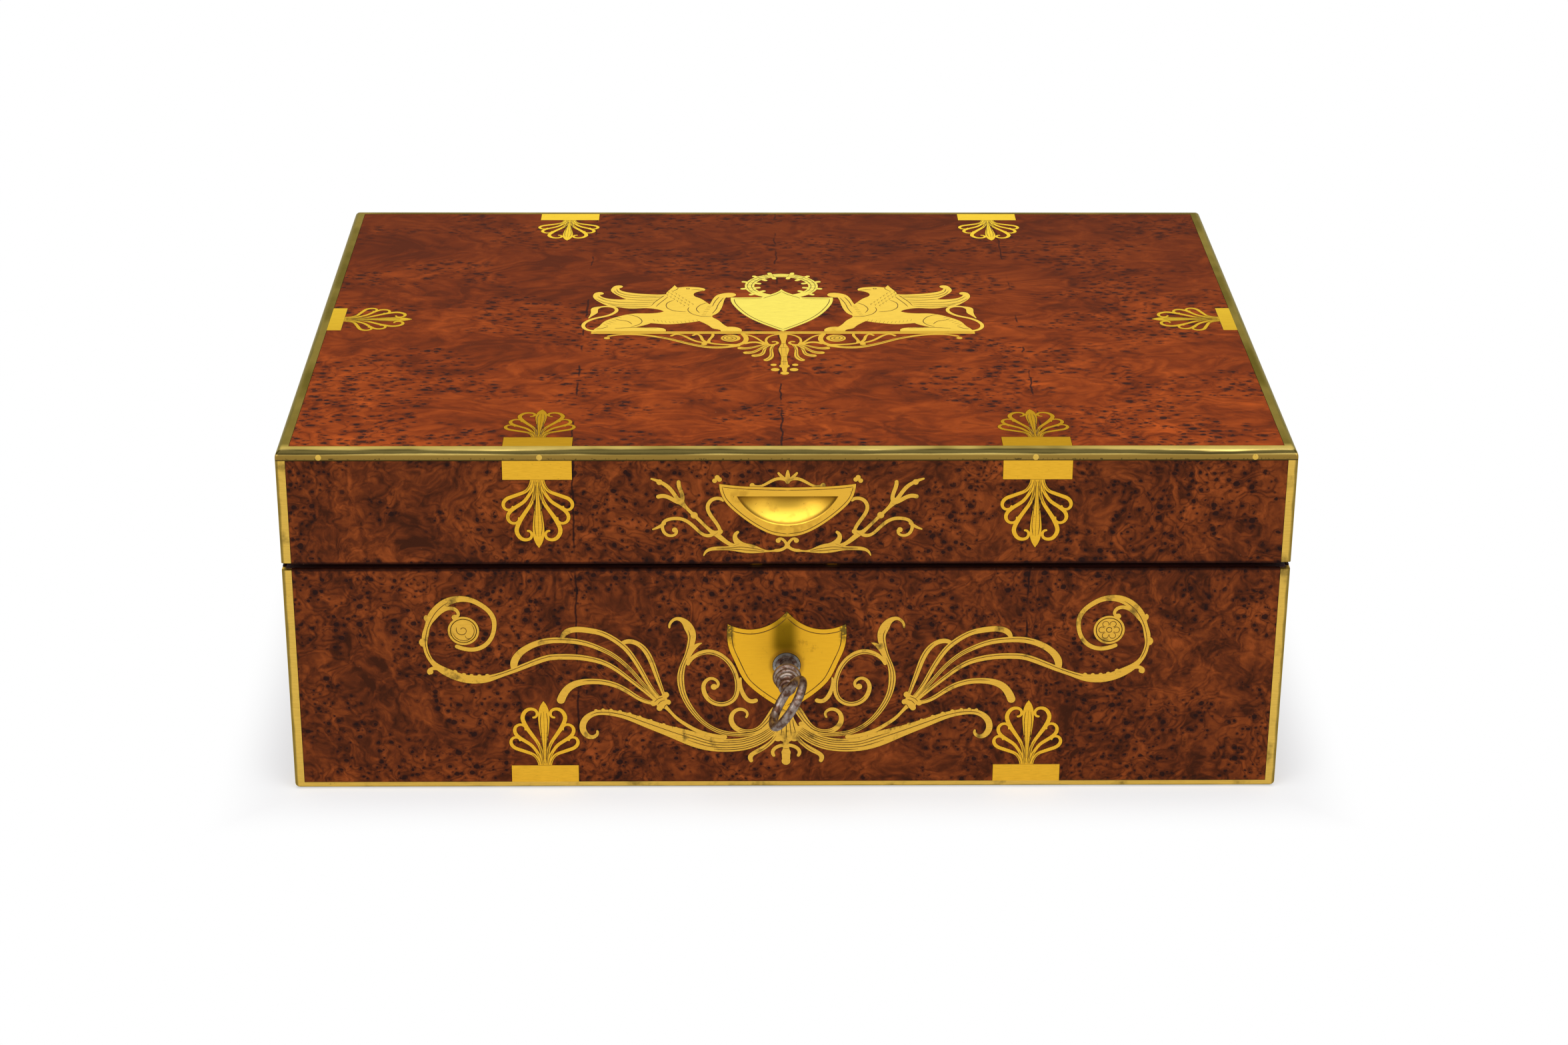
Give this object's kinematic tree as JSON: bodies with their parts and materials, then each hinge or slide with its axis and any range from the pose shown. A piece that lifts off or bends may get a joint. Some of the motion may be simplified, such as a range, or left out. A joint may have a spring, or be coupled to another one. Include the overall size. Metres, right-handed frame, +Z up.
{
  "type": "toiletry case",
  "caption": "Flat veneered wooden toiletry case with brass inlay, a lid hinged at the back, a lock with its key, and a fitted interior.",
  "frame": {"origin": "middle of the underside of the closed case", "axes": "+Z up, -Y out of the front face with the lock, +X to the right as seen from the front"},
  "size_m": [0.4, 0.3467, 0.1492],
  "materials": {
    "carcass": "old oak, dark where it shows",
    "veneer": "burr veneer, French polish",
    "inlay_brass": "engraved, satin",
    "edge_brass": "rubbed, a little tarnished",
    "liner_wood": "polished mahogany",
    "lining": "velvet",
    "hardware_brass": "brushed",
    "steel": "worn",
    "key_steel": "dark patina",
    "flask_glass": "clear",
    "gilt_caps": "polished",
    "looking_glass": "silvered"
  },
  "bodies": {
    "case": {"base_front_board": "carcass", "base_back_board": "carcass", "base_left_board": "carcass", "base_right_board": "carcass", "base_bottom_board": "carcass", "base_front_veneer": "veneer", "base_back_veneer": "veneer", "base_left_veneer": "veneer", "base_right_veneer": "veneer", "base_corner_strips": "edge_brass", "base_bottom_strips": "edge_brass", "base_palmettes": "inlay_brass", "front_scroll": "inlay_brass", "escutcheon_shield": "inlay_brass", "liner_long_boards": "liner_wood", "liner_end_boards": "liner_wood", "base_lining": "lining", "long_partition": "liner_wood", "cross_partitions": "liner_wood", "tray_runners": "liner_wood", "tray_floor": "liner_wood", "tray_walls": "liner_wood", "tray_dividers": "liner_wood", "flasks": "flask_glass", "flask_caps": "gilt_caps", "lock_case": "hardware_brass", "lock_cover": "hardware_brass", "lock_nozzle": "steel", "base_screws": "steel", "hinge_leaves_base": "hardware_brass", "hinge_pins": "steel"},
    "lid": {"hinge_leaves_lid": "hardware_brass", "lid_front_board": "carcass", "lid_back_board": "carcass", "lid_left_board": "carcass", "lid_right_board": "carcass", "lid_top_board": "carcass", "lid_front_veneer": "veneer", "lid_back_veneer": "veneer", "lid_left_veneer": "veneer", "lid_right_veneer": "veneer", "lid_top_veneer": "veneer", "lid_corner_strips": "edge_brass", "lid_top_moulding": "edge_brass", "moulding_pins": "edge_brass", "lid_palmettes": "inlay_brass", "griffins": "inlay_brass", "crest_shield": "inlay_brass", "pendant_foliage": "inlay_brass", "finger_pull": "inlay_brass", "pull_sprigs": "inlay_brass", "link_plate": "hardware_brass", "lid_screws": "steel", "mirror_frame": "liner_wood", "mirror_glass": "looking_glass", "lid_lining": "lining"},
    "key_and_plug": {"key_barrel": "steel", "key": "key_steel"},
    "bolt": {"lock_bolt": "steel"}
  },
  "joints": [
    {"name": "lid_hinge", "type": "hinge", "parent": "case", "child": "lid", "pos_m": [0, 0.1507, 0.09965], "axis": [-1, 0, 0], "range_deg": [0, 95]},
    {"name": "key_turn", "type": "hinge", "parent": "case", "child": "key_and_plug", "pos_m": [0, -0.148, 0.0558], "axis": [0, 1, 0], "range_deg": [-33, 57]},
    {"name": "bolt_slide", "type": "slide", "parent": "case", "child": "bolt", "axis": [1, 0, 0], "range_m": [-0.0022, 0.0038]}
  ],
  "couplings": [
    {"joint": "bolt_slide", "follows": "key_turn", "m_per_rad": 0.0038197}
  ]
}
